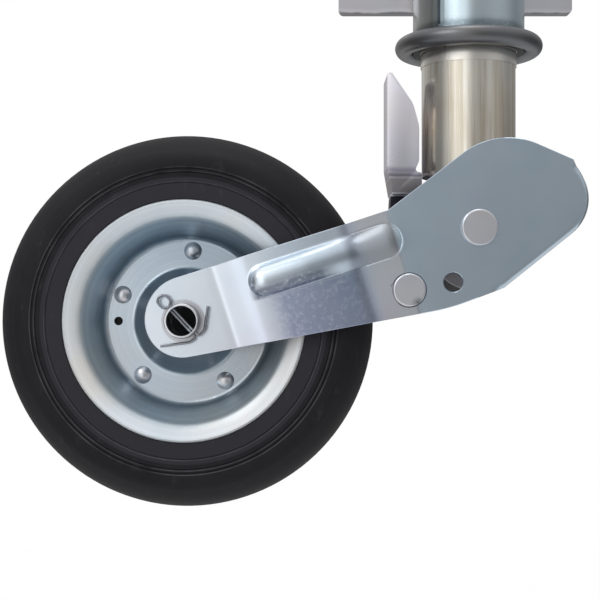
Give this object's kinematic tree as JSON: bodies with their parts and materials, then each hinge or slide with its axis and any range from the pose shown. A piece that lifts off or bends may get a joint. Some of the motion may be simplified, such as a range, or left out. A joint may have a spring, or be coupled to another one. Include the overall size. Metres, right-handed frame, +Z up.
{
  "type": "trailer jockey wheel",
  "caption": "Telescopic trailer support with a side flange, a crank on top and a spring-latched wheel fork that folds up.",
  "frame": {"origin": "on the flange plate's back face, straight behind the tube's axis", "axes": "+Y out of the flange's back face, +Z up along the tubes, wheel folded towards -X"},
  "size_m": [0.4167, 0.0904, 0.7713],
  "materials": {
    "outer_zinc": "satin",
    "inner_zinc": "satin",
    "fork_zinc": "satin",
    "pin_zinc": "satin",
    "rim_zinc": "satin",
    "screw_steel": "satin",
    "spring_steel": "satin",
    "nut_brass": "satin",
    "tyre_rubber": "matte",
    "bush_plastic": "matte",
    "grip_plastic": "matte"
  },
  "bodies": {
    "outer": {"outer_tube": "outer_zinc", "collar_ring": "outer_zinc", "flange_plate": "outer_zinc", "flange_welds": "outer_zinc", "guide_bush": "inner_zinc", "top_cap": "outer_zinc", "bearing_upper_race": "screw_steel", "bearing_balls": "screw_steel"},
    "crank": {"spindle": "screw_steel", "spindle_stop_ring": "screw_steel", "bearing_lower_race": "screw_steel", "crank_arm": "pin_zinc", "crank_cross_pin": "pin_zinc", "grip_pin": "pin_zinc"},
    "grip": {"crank_grip": "grip_plastic"},
    "inner": {"inner_tube": "inner_zinc", "spindle_nut": "nut_brass", "pivot_bracket": "fork_zinc", "pivot_sleeve": "pin_zinc", "catch_bar": "fork_zinc"},
    "fork": {"fork": "fork_zinc", "pivot_pin": "pin_zinc", "latch_pin": "pin_zinc", "axle_tube": "pin_zinc", "axle_washer_near": "pin_zinc", "axle_washer_far": "pin_zinc", "hub_washer_near": "pin_zinc", "hub_washer_far": "pin_zinc", "split_pin_near": "pin_zinc", "split_pin_far": "pin_zinc", "lever_spacer": "pin_zinc", "lever_spring": "spring_steel"},
    "lever": {"release_lever": "fork_zinc"},
    "wheel": {"tyre": "tyre_rubber", "rim_half_near": "rim_zinc", "rim_half_far": "rim_zinc", "rim_rivets": "pin_zinc", "hub_sleeve": "rim_zinc", "hub_bush_near": "bush_plastic", "hub_bush_far": "bush_plastic"}
  },
  "joints": [
    {"name": "crank_turn", "type": "hinge", "parent": "outer", "child": "crank", "pos_m": [0, -0.036, 0.3], "axis": [0, 0, 1], "range_deg": [-13800, 1200]},
    {"name": "grip_spin", "type": "hinge", "parent": "crank", "child": "grip", "pos_m": [0.15, -0.036, 0.4], "axis": [0, 0, 1], "continuous": true},
    {"name": "tube_slide", "type": "slide", "parent": "outer", "child": "inner", "axis": [0, 0, 1], "range_m": [-0.23, 0.02]},
    {"name": "fork_fold", "type": "hinge", "parent": "inner", "child": "fork", "pos_m": [0, -0.036, -0.1761], "axis": [0, -1, 0], "range_deg": [0, 51.5]},
    {"name": "lever_swing", "type": "hinge", "parent": "fork", "child": "lever", "pos_m": [-0.0357, -0.036, -0.208], "axis": [0, -1, 0], "range_deg": [-24, 12]},
    {"name": "wheel_spin", "type": "hinge", "parent": "fork", "child": "wheel", "pos_m": [-0.1519, -0.036, -0.2238], "axis": [0, -1, 0], "continuous": true}
  ],
  "couplings": [
    {"joint": "tube_slide", "follows": "crank_turn", "m_per_rad": 0.00095493},
    {"joint": "lever_swing", "follows": "fork_fold", "ratio": -0.466}
  ]
}
